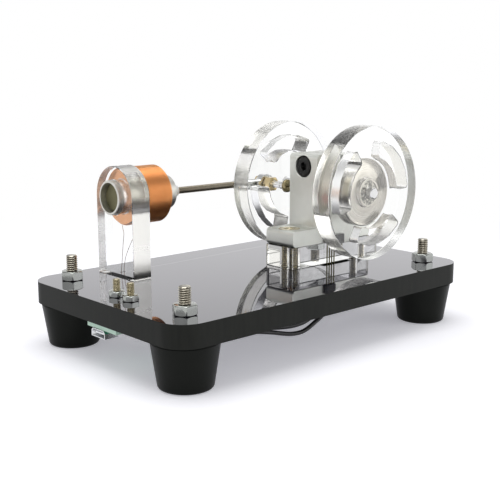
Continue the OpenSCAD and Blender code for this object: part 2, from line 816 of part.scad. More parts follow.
// Fork that slides in the tube and holds the wrist pin
module plunger_fork() {
    gap_w = tongue_t + 2 * tongue_gap;
    slot_x = wrist_x - nose_d / 2 - tongue_gap;
    color([0.9, 0.9, 0.87])
    difference() {
        translate([fork_start, rod_y, shaft_z]) along_x() cylinder(d = plunger_d, h = fork_l);
        translate([slot_x, rod_y - gap_w / 2, shaft_z - plunger_d])
            cube([fork_l + over, gap_w, 2 * plunger_d]);
        translate([wrist_x, rod_y - plunger_d, shaft_z]) along_y()
            cylinder(d = wrist_d + 2 * fit, h = 2 * plunger_d);
    }
}

// Magnet on the end of the fork
module plunger_magnet() {
    r = plunger_d / 2;
    l = plunger_magnet_l;
    color([0.32, 0.31, 0.26])
    translate([fork_start - l, rod_y, shaft_z]) along_x() rotate_extrude()
        polygon([[0, 0], [r - 0.3, 0], [r, 0.3], [r, l - 0.2], [r - 0.2, l], [0, l]]);
}

// ---------- coil ----------

// Clear bracket: an arch with a tenon
module coil_bracket() {
    color([0.85, 0.9, 0.92, 0.4])
    translate([bracket_x, rod_y, 0]) rotate([90, 0, 90]) linear_extrude(bracket_t) difference() {
        union() {
            translate([0, shaft_z]) circle(d = bracket_w);
            translate([-bracket_w / 2, plate_top]) square([bracket_w, shaft_z - plate_top]);
            translate([-tenon_w / 2, plate_z]) square([tenon_w, plate_t + 1]);
        }
        translate([0, shaft_z]) circle(d = tube_d + 2 * fit);
    }
}

// Aluminium tube that guides the plunger
module coil_tube() {
    ri = tube_bore / 2;
    ro = tube_d / 2;
    edge = 0.2;
    color([0.75, 0.76, 0.77])
    translate([tube_x, rod_y, shaft_z]) along_x() rotate_extrude() polygon([
        [ri, 0], [ro - edge, 0], [ro, edge], [ro, tube_l - edge], [ro - edge, tube_l], [ri, tube_l]
    ]);
}

// Inner layers of the winding
module coil_core() {
    color([0.65, 0.33, 0.14])
    translate([bracket_back, rod_y, shaft_z]) along_x() difference() {
        cylinder(d = core_d, h = coil_l);
        translate([0, 0, -over]) cylinder(d = tube_d + 2 * fit, h = coil_l + 2 * over);
    }
}

// Centre line of the outer layer, with a straight end on each side
winding_turns = [
    for (i = [0:turns * ring_n]) let (a = -90 + 360 * i / ring_n)
        [coil_x0 + i * wire_pitch / ring_n, rod_y + coil_r * cos(a), shaft_z + coil_r * sin(a)]
];
winding_route = concat(
    [winding_turns[0] - [0, wire_d, 0]],
    winding_turns,
    [winding_turns[len(winding_turns) - 1] + [0, wire_d, 0]]
);
winding_gap = min([
    for (i = [0:len(winding_turns) - 1], j = [i + ring_n / 2:len(winding_turns) - 1])
        if (j < i + 2 * ring_n && j < len(winding_turns)) norm(winding_turns[i] - winding_turns[j])
]) - wire_d;
echo(winding_turns_count = turns, winding_least_gap_mm = winding_gap);

// Outer layer of the winding: one unbroken wire
module coil_winding() {
    color([0.85, 0.45, 0.2])
    sweep_tube(winding_route, wire_d, wire_sides, [1, 0, 0]);
}

// Two thin leads down into the plate
module coil_leads() {
    color([0.6, 0.35, 0.2]) {
        sweep_tube(lead_a, lead_d, lead_sides, [1, 0, 0]);
        sweep_tube(lead_b, lead_d, lead_sides, [1, 0, 0]);
    }
}

// ---------- sensor, board and terminals ----------

// Hall sensor on the support's foot, with its four legs down to the slot in the plate
module hall_sensor() {
    leg_top = sensor_z + 0.6;
    leg_end = plate_z - leg_drop;
    color([0.05, 0.05, 0.05])
    union() {
        translate([sensor_x - sensor_w / 2, support_front - sensor_t, sensor_z])
            cube([sensor_w, sensor_t, sensor_h]);
        for (k = [0:leg_n - 1])
            translate([sensor_x + (k - (leg_n - 1) / 2) * leg_pitch - leg_d / 2,
                support_front - sensor_t / 2 - leg_d / 2, leg_end])
                cube([leg_d, leg_d, leg_top - leg_end]);
    }
}

// Black sleeve over the joints between the legs and the cable
module leg_sleeve() {
    color([0.04, 0.04, 0.04])
    translate([sensor_x, support_front - sensor_t / 2, plate_z - sleeve_h]) difference() {
        translate([-sleeve_w / 2, -sleeve_t / 2, 0]) linear_extrude(sleeve_h)
            round_rect(sleeve_w, sleeve_t, 1);
        for (k = [0:leg_n - 1])
            translate([(k - (leg_n - 1) / 2) * leg_pitch, 0, sleeve_h - leg_drop - fit])
                translate([-leg_d / 2 - fit, -leg_d / 2 - fit, 0])
                    cube([leg_d + 2 * fit, leg_d + 2 * fit, leg_drop + over]);
    }
}

// Cable from the sensor to the board
module sensor_cable() {
    color([0.03, 0.03, 0.03])
    for (route = [cable_a, cable_b]) sweep_tube(route, cable_d, lead_sides, [0, 1, 0]);
}

// Green board under the plate's left edge
module circuit_board() {
    color([0.1, 0.4, 0.25])
    difference() {
        translate([board_x0, board_y - board_w / 2, board_z]) cube([board_l, board_w, board_t]);
        at_terminals() translate([0, 0, board_z - over])
            cylinder(d = terminal_d + 2 * hole_gap, h = board_t + 2 * over);
    }
}

// Supply socket under the board: a folded shell with a tongue inside
module supply_socket() {
    color([0.75, 0.76, 0.78])
    translate([usb_x0, usb_y, board_z - usb_h]) rotate([90, 0, 90]) {
        difference() {
            linear_extrude(usb_l) usb_outline(0);
            translate([0, 0, -over]) linear_extrude(usb_l - usb_wall + over) usb_outline(usb_wall);
        }
        translate([-usb_w * 0.3, usb_h * 0.42, usb_wall * 2])
            cube([usb_w * 0.6, usb_h * 0.2, usb_l - 2.5 * usb_wall]);
    }
}

// Outline of the socket's mouth, with its upper corners cut off
module usb_outline(inset) {
    w = usb_w / 2 - inset;
    top = usb_h - inset;
    chamfer = usb_h * 0.3;
    polygon([
        [-w, inset], [w, inset], [w, top - chamfer],
        [w - chamfer, top], [chamfer - w, top], [-w, top - chamfer]
    ]);
}

// Two brass screws that carry the board and stand up as terminals
module terminal_screws() {
    color([0.8, 0.65, 0.35])
    at_terminals() translate([0, 0, board_z]) rotate([180, 0, 0])
        pan_screw(terminal_d, plate_top + terminal_h - board_z, terminal_d * head_d_k, terminal_d * head_h_k,
            terminal_h - small_h - thread_gap);
}

// Two nuts on the terminals
module terminal_nuts() {
    color([0.75, 0.77, 0.78])
    at_terminals() translate([0, 0, plate_top]) hex_nut(small_af, small_h, terminal_d * root_k + 2 * fit);
}

base_plate();
feet();
foot_screws();
foot_nuts();
riser_block();
shaft_support();
support_screws();
support_nuts();
clamp_screw();
bearings();
shaft();
flywheel_front();
flywheel_back();
trigger_hub();
hub_grub_screw();
trigger_magnet();
crank_screw();
crank_nut();
rod_end();
rod_bush();
rod_pin();
rod_nut();
connecting_rod();
rod_nose();
wrist_pin();
plunger_fork();
plunger_magnet();
coil_bracket();
coil_tube();
coil_core();
coil_winding();
coil_leads();
hall_sensor();
leg_sleeve();
sensor_cable();
circuit_board();
supply_socket();
terminal_screws();
terminal_nuts();
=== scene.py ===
# %% [markdown]
# # A demonstration electric motor
# A coil pulls a small magnet in and out of a tube, and a rod and crank turn two clear
# flywheels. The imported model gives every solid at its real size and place. This lesson
# dresses it: the pieces whose surface matters are modelled again in the same places, with
# soft edges and real threads, and every piece gets a finish made of nodes.

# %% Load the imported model
import math

import bpy
from mathutils import Matrix, Vector
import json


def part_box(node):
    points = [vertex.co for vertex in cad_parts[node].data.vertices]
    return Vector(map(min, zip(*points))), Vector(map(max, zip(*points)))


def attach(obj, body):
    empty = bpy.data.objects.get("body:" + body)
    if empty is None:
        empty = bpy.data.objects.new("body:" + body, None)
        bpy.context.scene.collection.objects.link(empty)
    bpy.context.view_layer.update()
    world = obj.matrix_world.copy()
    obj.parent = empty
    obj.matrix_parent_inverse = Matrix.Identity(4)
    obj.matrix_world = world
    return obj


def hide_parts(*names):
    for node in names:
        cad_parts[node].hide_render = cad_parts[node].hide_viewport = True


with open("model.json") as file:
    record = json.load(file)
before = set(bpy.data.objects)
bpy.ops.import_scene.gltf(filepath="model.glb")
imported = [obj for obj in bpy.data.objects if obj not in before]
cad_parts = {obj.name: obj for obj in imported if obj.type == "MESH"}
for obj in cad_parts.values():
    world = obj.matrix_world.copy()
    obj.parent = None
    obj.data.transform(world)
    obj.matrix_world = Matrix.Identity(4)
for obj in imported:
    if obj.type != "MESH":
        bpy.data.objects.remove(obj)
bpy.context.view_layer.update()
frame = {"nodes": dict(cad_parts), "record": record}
nodes = frame["nodes"]
MM = 0.001
print("nodes:", len(nodes))

# %% [markdown]
# ## Camera
# The real photo was taken from a little above the plate, from its coil end. The camera is
# placed by where it stands and which way it looks, in millimetres of the object's own
# frame, so that no later step depends on the image.

# %% Camera
CAMERA_AT = Vector((-220.15, -238.15, 93.3)) * MM
CAMERA_LOOK = Vector((0.6619, 0.7246, -0.1922))
CAMERA_LENS = 65.9

camera_data = bpy.data.cameras.new("camera")
camera_data.lens = CAMERA_LENS
camera_data.sensor_width = 36
camera = bpy.data.objects.new("camera", camera_data)
camera.location = CAMERA_AT
camera.rotation_mode = "QUATERNION"
camera.rotation_quaternion = CAMERA_LOOK.to_track_quat("-Z", "Y")
bpy.context.scene.collection.objects.link(camera)
bpy.context.scene.camera = camera
bpy.context.scene.view_settings.view_transform = "Standard"
print("camera distance in mm:", round(CAMERA_AT.length / MM))

# %% [markdown]
# ## Shader maths
# A finish is easier to read as a formula than as a web of nodes. This class wraps one
# socket, so that `noise * 0.2 + 0.3` adds the Math nodes that compute it. Any other node
# comes from `add_node`, which works in a material and in the world alike.


# %% A socket that does sums
class Value:
    def __init__(self, tree, socket):
        self.tree = tree
        self.socket = socket

    def math(self, operation, *others, swap=False):
        values = [self, *others]
        if swap:
            values.reverse()
        node = self.tree.nodes.new("ShaderNodeMath")
        node.operation = operation
        for place, value in enumerate(values):
            connect(self.tree, node.inputs[place], value)
        return Value(self.tree, node.outputs[0])

    def __add__(self, other):
        return self.math("ADD", other)

    def __radd__(self, other):
        return self.math("ADD", other, swap=True)

    def __sub__(self, other):
        return self.math("SUBTRACT", other)

    def __rsub__(self, other):
        return self.math("SUBTRACT", other, swap=True)

    def __mul__(self, other):
        return self.math("MULTIPLY", other)

    def __rmul__(self, other):
        return self.math("MULTIPLY", other, swap=True)

    def __gt__(self, other):
        return self.math("GREATER_THAN", other)


def connect(tree, socket, value):
    """Links a Value to a socket, or sets the socket to a plain value."""
    if isinstance(value, Value):
        tree.links.new(value.socket, socket)
    else:
        socket.default_value = value


def add_node(tree, kind, settings=(), output=0, **inputs):
    """Adds any other node. Its options are set first, and then its inputs."""
    made = tree.nodes.new("ShaderNode" + kind)
    for key, value in dict(settings).items():
        setattr(made, key, value)
    for key, value in inputs.items():
        connect(tree, made.inputs[key.replace("_", " ")], value)
    return Value(tree, made.outputs[output])


# %% [markdown]
# ## A material as a small workshop
# `Finish` makes a material with one Principled shader. Fixed numbers are set on the
# shader's own sockets. Colour, roughness and relief may vary over the surface, and they
# read Object coordinates: every piece sits at the origin with its place in its mesh, so
# a pattern stays put when the piece moves.


# %% Materials
FACE_ABOVE = 0.7


class Finish:
    def __init__(self, name, **fixed):
        self.material = bpy.data.materials.new(name)
        self.material.use_nodes = True
        self.tree = self.material.node_tree
        self.shader = self.tree.nodes["Principled BSDF"]
        self.set(**fixed)

    def set(self, **values):
        """Sets or links the shader's sockets: base_color is the socket Base Color."""
        names = {"ior": "IOR", "coat_ior": "Coat IOR", "specular_ior_level": "Specular IOR Level"}
        for key, value in values.items():
            title = names.get(key, key.replace("_", " ").title())
            connect(self.tree, self.shader.inputs[title], value)
        return self

    def under(self, mask, **fixed):
        """Adds a second Principled shader, which shows where the mask is 0."""
        mixer = self.tree.nodes.new("ShaderNodeMixShader")
        second = self.tree.nodes.new("ShaderNodeBsdfPrincipled")
        connect(self.tree, mixer.inputs[0], mask)
        self.tree.links.new(second.outputs[0], mixer.inputs[1])
        self.tree.links.new(self.shader.outputs[0], mixer.inputs[2])
        self.tree.links.new(mixer.outputs[0], self.tree.nodes["Material Output"].inputs[0])
        self.shader = second
        return self.set(**fixed)

    def node(self, kind, settings=(), output=0, **inputs):
        return add_node(self.tree, kind, settings, output, **inputs)

    def place(self, centre=(0, 0, 0), stretch=(1, 1, 1)):
        """Object coordinates in metres from a centre, stretched for grain."""
        coordinates = self.node("TexCoord", output="Object")
        shift = [-c * s for c, s in zip(centre, stretch)]
        return self.node("Mapping", Vector=coordinates, Location=shift, Scale=stretch)

    def noise(self, scale, detail=3, stretch=(1, 1, 1)):
        place = self.place(stretch=stretch)
        return self.node("TexNoise", Vector=place, Scale=scale, Detail=float(detail))

    def axis(self, vector, name):
        return self.node("SeparateXYZ", output=name, Vector=vector)

    def facing(self, name):
        """The surface's own direction along an axis, from -1 to 1."""
        return self.axis(self.node("NewGeometry", output="Normal"), name)

    def face_mask(self, name):
        """1 on the flat faces that look along an axis either way, and 0 on the edges."""
        return self.facing(name).math("ABSOLUTE") > FACE_ABOVE

    def mix(self, mask, first, second):
        made = self.tree.nodes.new("ShaderNodeMix")
        made.data_type = "RGBA"
        for place, value in ((0, mask), (6, first), (7, second)):
            connect(self.tree, made.inputs[place], value)
        return Value(self.tree, made.outputs[2])

    def relief(self, height, depth):
        """Fine relief of a real depth in millimetres."""
        bump = self.node("Bump", Height=height, Distance=depth * MM, Strength=1.0)
        return self.set(normal=bump)


def rgb(red, green, blue):
    return (red, green, blue, 1.0)


# %% [markdown]
# ## Metal in general
# Most metal here differs only in colour, polish and grain, so one function makes it. Two
# noises do the work: a broad one drifts the colour, and a fine one, which can be stretched
# along a grain, sets the polish and the relief. The grooves of a thread get painted shade:
# they are darker than the metal's dark colour by a fixed share, where real shade would fall.

# %% One function for most metals
# How bright the painted shade in a thread's grooves is, against the metal's dark colour.
GROOVE_PAINTED_SHADE = 0.22


def metal(name, light, dark, roughness, spread=0.08, grain=(1, 1, 1), scale=600, depth=0.004):
    """A metal whose colour and polish drift a little, with fine grain along one way.
    Its colour darkens with the attribute groove, which only threads have, as painted shade in the grooves."""
    made = Finish(name, metallic=1.0)
    drift = made.noise(90)
    grain_noise = made.noise(scale, 4, grain)
    groove = made.node("Attribute", {"attribute_name": "groove"}, output="Fac")
    clean = made.mix(drift, rgb(*dark), rgb(*light))
    # Painted shade: the grooves are darkened as if shade fell in them.
    painted_groove_shade = rgb(*(GROOVE_PAINTED_SHADE * channel for channel in dark))
    made.set(base_color=made.mix(groove, clean, painted_groove_shade))
    made.set(roughness=grain_noise * spread * 2 + (roughness - spread))
    made.relief(grain_noise, depth)
    return made.material


# %% [markdown]
# ## Floor
# The object stands on a white table with a white backdrop. The floor takes the object's
# shadow near it and fades to plain white further out, so there is no horizon. A curved
# backdrop would hide the horizon too, but only in views from the front. So the floor is
# flat, and mixes lit paper with plain light by the distance from the object's middle.

# %% Floor
FLOOR_HALF = 1.6
SHADOW_NEAR = 0.10
SHADOW_FAR = 0.30
FLOOR_OWN_LIGHT = 0.34

bpy.ops.mesh.primitive_plane_add(size=2 * FLOOR_HALF)
floor = bpy.context.object
floor.name = "floor"

paper = Finish("stage_paper", base_color=rgb(0.91, 0.91, 0.93), roughness=1.0)
away = paper.node("VectorMath", {"operation": "LENGTH"}, output="Value", Vector=paper.place())
fade = paper.node(
    "MapRange",
    {"interpolation_type": "SMOOTHSTEP"},
    Value=away,
    **{"From_Min": SHADOW_NEAR, "From_Max": SHADOW_FAR},
)
glow = paper.node("Emission", Color=rgb(1, 1, 1), Strength=1.0)
own = paper.node("Emission", Color=rgb(0.93, 0.93, 1), Strength=FLOOR_OWN_LIGHT)
lit = paper.tree.nodes.new("ShaderNodeAddShader")
paper.tree.links.new(paper.shader.outputs[0], lit.inputs[0])
paper.tree.links.new(own.socket, lit.inputs[1])
blend = paper.tree.nodes.new("ShaderNodeMixShader")
paper.tree.links.new(fade.socket, blend.inputs[0])
paper.tree.links.new(lit.outputs[0], blend.inputs[1])
paper.tree.links.new(glow.socket, blend.inputs[2])
paper.tree.links.new(blend.outputs[0], paper.tree.nodes["Material Output"].inputs[0])
floor.data.materials.append(paper.material)
print("floor fades out in mm from", SHADOW_NEAR / MM, "to", SHADOW_FAR / MM)

# %% [markdown]
# ## World
# Metal and clear plastic need something to mirror. So the world is white at eye level and
# greyer overhead for the rays that they send out, plain white for the camera, and weaker
# for the light that it gives. One number, the world's strength, holds all three, because
# it can be a formula on the kind of ray.

# %% World
SKY_LIGHT = 0.42
SKY_OVERHEAD = 0.42
GREYER_FROM = 0.35
GREYEST_FROM = 0.75

world = bpy.data.worlds.new("world")
bpy.context.scene.world = world
world.use_nodes = True
sky = world.node_tree

direction = add_node(sky, "TexCoord", output="Generated")
height = add_node(sky, "SeparateXYZ", output="Z", Vector=direction)
overhead = add_node(
    sky, "MapRange", {"interpolation_type": "SMOOTHSTEP"}, Value=height,
    **{"From_Min": GREYER_FROM, "From_Max": GREYEST_FROM, "To_Min": 1.0, "To_Max": SKY_OVERHEAD},
)
rays = add_node(sky, "LightPath")
camera_ray = Value(sky, rays.socket.node.outputs["Is Camera Ray"])
glossy_ray = Value(sky, rays.socket.node.outputs["Is Glossy Ray"])
clear_ray = Value(sky, rays.socket.node.outputs["Is Transmission Ray"])
mirrored = glossy_ray.math("MAXIMUM", clear_ray)
strength = camera_ray + (1 - camera_ray) * (mirrored * overhead + (1 - mirrored) * SKY_LIGHT)
background = sky.nodes["Background"]
background.inputs["Color"].default_value = (1, 1, 1, 1)
connect(sky, background.inputs["Strength"], strength)
print("light from the world:", SKY_LIGHT)

# %% [markdown]
# ## Lamps
# A wide lamp above lights the plate and the tops of the pieces. A second one stands low
# at the front and lights the upright faces of the shaft support, which would be dull
# under the first one alone. Both are broad, so that their shadows stay soft.


# %% Lamps
def softbox(name, at, look_at, width, watts):
    light = bpy.data.lights.new(name, "AREA")
    light.shape = "SQUARE"
    light.size = width
    light.energy = watts
    lamp = bpy.data.objects.new(name, light)
    lamp.location = at
    lamp.rotation_mode = "QUATERNION"
    lamp.rotation_quaternion = (Vector(look_at) - Vector(at)).to_track_quat("-Z", "Y")
    bpy.context.scene.collection.objects.link(lamp)
    print(name, "watts:", watts)


softbox("top_lamp", (-0.05, 0.05, 0.60), (0, 0, 0.03), 0.5, 2.0)
softbox("front_lamp", (0.42, -0.50, 0.18), (0.03, 0, 0.035), 0.5, 0.8)

# %% [markdown]
# ## Acrylic
# The base is black acrylic sheet, and the flywheels, riser and bracket are clear. Sheet
# is bright on its two faces and duller where it was cut, so each finish asks which way
# the surface faces and treats face and edge apart. Painting the edges on separate pieces
# would do the same, but would need every piece to be split.


# %% Acrylic
def black_acrylic():
    """Polished on both faces and sawn at the edges, where it stays matte."""
    made = Finish("black_acrylic", ior=1.49, coat_weight=0.75, coat_ior=1.45, coat_roughness=0.01)
    made.set(specular_tint=rgb(0.90, 0.88, 1.0), coat_tint=rgb(0.96, 0.95, 1.0))
    face = made.face_mask("Z")
    dust = made.noise(260, 4)
    made.set(base_color=made.mix(dust, rgb(0.008, 0.008, 0.011), rgb(0.014, 0.014, 0.018)))
    made.set(roughness=dust * 0.03 + 0.01)
    made.under(face, ior=1.49, specular_ior_level=0.12)
    saw = made.noise(700, 2, (1, 1, 0.15))
    made.set(base_color=made.mix(saw, rgb(0.008, 0.009, 0.008), rgb(0.018, 0.019, 0.016)))
    made.set(roughness=saw * 0.12 + 0.40)
    made.relief(saw, 0.012)
    return made.material


MARK_STRETCH = 0.06


def clear_acrylic(name, along, edge_roughness):
    """Cast sheet: clear through its two faces, cut and slightly frosted round its edges.
    The faces look along one axis, and the cutter's marks run across the thickness."""
    made = Finish(name, ior=1.49, transmission_weight=1.0)
    face = made.face_mask(along)
    across = [MARK_STRETCH if axis == along else 1 for axis in "XYZ"]
    marks = made.noise(420, 2, across)
    broad = made.noise(110, 2, across)
    edge_tint = made.mix(broad, rgb(0.99, 0.985, 0.955), rgb(0.93, 0.92, 0.865))
    made.set(base_color=made.mix(face, edge_tint, rgb(0.99, 0.995, 0.99)))
    made.set(roughness=(1 - face) * (broad * 0.7 + 0.3) * edge_roughness)
    made.relief(marks * (1 - face), 0.004)
    return made.material


# %% [markdown]
# ## Moulded and turned plastic, and the board
# Moulded plastic has a fine even skin, and turned nylon has marks across its axis. In
# each, one noise sets polish and relief together, so that they agree. The board is green
# lacquer on its faces and bare glass fibre at its edges, which the face mask tells apart.


# %% Plastic and board
def foot_plastic():
    made = Finish("foot_plastic", ior=1.46, specular_ior_level=0.11)
    skin = made.noise(1800, 4)
    broad = made.noise(60)
    made.set(base_color=made.mix(broad, rgb(0.004, 0.005, 0.004), rgb(0.010, 0.011, 0.009)))
    made.set(roughness=skin * 0.16 + 0.30)
    made.relief(skin, 0.02)
    return made.material


def white_nylon():
    made = Finish("white_nylon", ior=1.53, subsurface_weight=0.2, subsurface_scale=0.001)
    turning = made.noise(900, 3, (4, 1, 1))
    made.set(base_color=made.mix(turning, rgb(0.80, 0.79, 0.72), rgb(0.88, 0.87, 0.82)))
    made.set(roughness=turning * 0.15 + 0.4)
    made.relief(turning, 0.01)
    return made.material


def moulded_black(name, roughness):
    made = Finish(name, ior=1.5)
    skin = made.noise(2600, 4)
    made.set(base_color=made.mix(skin, rgb(0.010, 0.010, 0.010), rgb(0.025, 0.025, 0.024)))
    made.set(roughness=skin * 0.15 + roughness)
    made.relief(skin, 0.008)
    return made.material


def board_green():
    """Green lacquer on both faces, pale glass fibre at the cut edges."""
    made = Finish("board_green", ior=1.5)
    face = made.face_mask("Z")
    weave = made.noise(1500, 2)
    edge = made.mix(weave, rgb(0.42, 0.62, 0.50), rgb(0.62, 0.80, 0.68))
    lacquer = made.mix(weave, rgb(0.02, 0.22, 0.11), rgb(0.03, 0.30, 0.16))
    made.set(base_color=made.mix(face, edge, lacquer))
    made.set(roughness=face * 0.2 + (1 - face) * 0.6)
    made.relief(weave, 0.01)
    return made.material


# %% [markdown]
# ## Turned hub
# The hub behind the front flywheel was faced on a lathe. Its rings are a noise with one
# dimension, read at the distance from the shaft, which gives true circles at any size. A
# wave texture would repeat too evenly.

# %% Turned hub
SHAFT_AT = (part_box("shaft")[0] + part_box("shaft")[1]) / 2
DARK_SPOT_R = 4.4 * MM


def turned_metal():
    """Fine rings about the shaft on the flat sides, and dark spots near the shaft."""
    made = Finish("turned_metal", metallic=1.0)
    place = made.place(centre=SHAFT_AT)
    out = made.node("CombineXYZ", X=made.axis(place, "X"), Z=made.axis(place, "Z"))
    radius = made.node("VectorMath", {"operation": "LENGTH"}, output="Value", Vector=out)
    face = made.face_mask("Y")
    rings = made.node("TexNoise", {"noise_dimensions": "1D"}, W=radius * 3000, Scale=1.0, Detail=2.0)
    broad = made.node("TexNoise", {"noise_dimensions": "1D"}, W=radius * 500, Scale=1.0, Detail=1.0)
    mottle = made.noise(220, 4)
    bright = made.mix(mottle * 0.5 + broad * 0.5, rgb(0.44, 0.41, 0.36), rgb(0.80, 0.77, 0.71))
    near_shaft = 1 - (radius > DARK_SPOT_R)
    # Dark spots painted within a small radius of the shaft, darker than the turned metal round them.
    dark_spots = near_shaft * (made.noise(1100, 3) > 0.47)
    made.set(base_color=made.mix(dark_spots * 0.8, bright, rgb(0.10, 0.10, 0.09)))
    made.set(roughness=rings * 0.14 + 0.22)
    made.relief(rings * face, 0.010)
    return made.material


# %% [markdown]
# ## All the finishes
# Each has its name, then for metal the light and the dark of its colour and how rough it
# is. The solids take theirs from the record, so that a piece which is not modelled again
# is finished too.

# %% All the finishes
MATERIALS = {
    "black_acrylic": black_acrylic(),
    "clear_acrylic": clear_acrylic("clear_acrylic", "Y", 0.36),
    "clear_riser": clear_acrylic("clear_riser", "Y", 0.05),
    "clear_bracket": clear_acrylic("clear_bracket", "X", 0.42),
    "foot_plastic": foot_plastic(),
    "white_nylon": white_nylon(),
    "board_green": board_green(),
    "sensor_black": moulded_black("sensor_black", 0.35),
    "cable_black": moulded_black("cable_black", 0.28),
    "plated_screw": metal("plated_screw", (0.72, 0.68, 0.58), (0.50, 0.46, 0.38), 0.24),
    "yellow_screw": metal("yellow_screw", (0.74, 0.66, 0.46), (0.54, 0.48, 0.32), 0.26),
    "zinc_nut": metal("zinc_nut", (0.50, 0.52, 0.50), (0.30, 0.31, 0.29), 0.20, 0.10),
    "satin_aluminium": metal(
        "satin_aluminium", (0.80, 0.81, 0.77), (0.60, 0.61, 0.57), 0.40, 0.10, (1, 1, 0.4), 1300, 0.018
    ),
    "black_steel": metal("black_steel", (0.05, 0.05, 0.05), (0.03, 0.03, 0.03), 0.32),
    "bearing_steel": metal("bearing_steel", (0.66, 0.66, 0.68), (0.56, 0.56, 0.58), 0.2),
    "polished_steel": metal("polished_steel", (0.82, 0.82, 0.82), (0.74, 0.74, 0.75), 0.12, 0.04),
    "turned_metal": turned_metal(),
    "magnet": metal("magnet", (0.80, 0.42, 0.36), (0.70, 0.34, 0.30), 0.25),
    "brass_screw": metal("brass_screw", (0.80, 0.64, 0.36), (0.62, 0.48, 0.26), 0.20),
    "dark_brass": metal("dark_brass", (0.52, 0.44, 0.26), (0.22, 0.18, 0.10), 0.26, 0.1),
    "bronze": metal("bronze", (0.66, 0.42, 0.20), (0.50, 0.30, 0.13), 0.34),
    "rod_steel": metal("rod_steel", (0.48, 0.43, 0.33), (0.36, 0.32, 0.25), 0.32),
    "dark_magnet": metal("dark_magnet", (0.20, 0.19, 0.11), (0.12, 0.11, 0.06), 0.44),
    "tube_aluminium": metal("tube_aluminium", (0.74, 0.73, 0.69), (0.54, 0.53, 0.49), 0.44),
    "copper": metal("copper", (0.84, 0.40, 0.16), (0.70, 0.29, 0.10), 0.30, 0.03, depth=0.0005),
    "lead_wire": metal("lead_wire", (0.55, 0.38, 0.31), (0.40, 0.27, 0.22), 0.40),
    "socket_metal": metal("socket_metal", (0.72, 0.73, 0.74), (0.62, 0.63, 0.64), 0.24),
}
print("finishes:", len(MATERIALS))

# %% Give every solid its finish
slot_of = {row["node"]: row["material_slot"] for row in frame["record"]["subparts"]}
for name, solid in nodes.items():
    solid.data.materials.clear()
    solid.data.materials.append(MATERIALS[slot_of[name]])
print("solids with a finish:", len(nodes))

# %% [markdown]
# ## Tools of the workshop
# Each new piece starts as a primitive at its real size and place, and is then cut,
# chamfered or drawn out. An operator works on whatever is selected, so `only` selects one
# piece first. `dress` ends a piece: it fixes its place in its mesh, shades it, gives it a
# finish, hides the solids it stands for and attaches it to their body.


# %% Selecting and editing
def only(piece):
    bpy.ops.object.select_all(action="DESELECT")
    piece.select_set(True)
    bpy.context.view_layer.objects.active = piece


def fix_place(piece):
    only(piece)
    bpy.ops.object.transform_apply(location=True, rotation=True, scale=True)


def apply_modifier(piece, kind, **settings):
    only(piece)
    modifier = piece.modifiers.new(kind.lower(), kind)
    for key, value in settings.items():
        setattr(modifier, key, value)
    bpy.ops.object.modifier_apply(modifier=modifier.name)


def edit(piece, *steps):
    """Runs edit mode operators on everything in a piece."""
    only(piece)
    bpy.ops.object.mode_set(mode="EDIT")
    bpy.ops.mesh.select_all(action="SELECT")
    for step in steps:
        step()
    bpy.ops.object.mode_set(mode="OBJECT")


def outwards():
    bpy.ops.mesh.normals_make_consistent(inside=False)


# %% Primitives
def block(name, low, high):
    low, high = Vector(low), Vector(high)
    bpy.ops.object.select_all(action="DESELECT")
    bpy.ops.mesh.primitive_cube_add(size=1, location=(low + high) / 2, scale=high - low)
    piece = bpy.context.object
    piece.name = name
    fix_place(piece)
    return piece


TURNED = {"X": (0, math.pi / 2, 0), "Y": (-math.pi / 2, 0, 0), "Z": (0, 0, 0)}


def bar(name, centre, along, radius, length, sides=64):
    bpy.ops.object.select_all(action="DESELECT")
    bpy.ops.mesh.primitive_cylinder_add(
        vertices=sides, radius=radius, depth=length, location=centre, rotation=TURNED[along]
    )
    piece = bpy.context.object
    piece.name = name
    fix_place(piece)
    return piece


# %% Cutting and finishing
SMOOTH_ANGLE = math.radians(30)
CORNER_ANGLE = math.radians(40)
body_of = {
    node: body
    for body, names in frame["record"]["behaviour"]["bodies"].items()
    for node in names
}


def combine(piece, operation, others):
    for other in others:
        apply_modifier(piece, "BOOLEAN", operation=operation, object=other, solver="EXACT")
        bpy.data.objects.remove(other)
    return piece


def cut(piece, *cutters):
    return combine(piece, "DIFFERENCE", cutters)


def fuse(piece, *others):
    return combine(piece, "UNION", others)


def soften(piece, width):
    """Breaks the sharp edges by a width in millimetres. One segment keeps the large faces
    flat and mirror like."""
    apply_modifier(
        piece, "BEVEL", width=width * MM, segments=1, limit_method="ANGLE", angle_limit=CORNER_ANGLE
    )
    return piece


def dress(piece, *stands_for, slot=None, finish=None, smooth=SMOOTH_ANGLE):
    fix_place(piece)
    bpy.ops.object.shade_smooth_by_angle(angle=smooth)
    slot = slot or slot_of[stands_for[0]]
    piece.data.materials.clear()
    piece.data.materials.append(MATERIALS[finish or slot])
    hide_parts(*stands_for)
    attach(piece, body_of[stands_for[0]])
    print(piece.name, "faces:", len(piece.data.polygons))
    return piece


# %% [markdown]
# ## Clear flywheels
# Each flywheel is a turned disc of cast acrylic with three kidney slots milled through
# it. Clear plastic shows every edge twice, so its chamfers matter more than its faces. A
# slot's cutter is a flat bar with round corners, bent round the shaft and drawn out. The
# discs stop a hair short of the metal they touch, because two faces in one place would
# leave black patches in clear plastic.

# %% Flywheels
SHY = 0.03 * MM
SPARE = 2 * MM
DISC_CHAMFER = 0.18
SLOT_IN_R = 12.8 * MM
SLOT_OUT_R = 18.6 * MM
SLOT_SPAN = math.radians(78)
SLOT_CORNER = 1.0 * MM
SLOT_FRONT_ANGLE = 41
SLOT_BACK_ANGLE = 100
SHAFT_R = 2.05 * MM
DISC_SIDES = 192


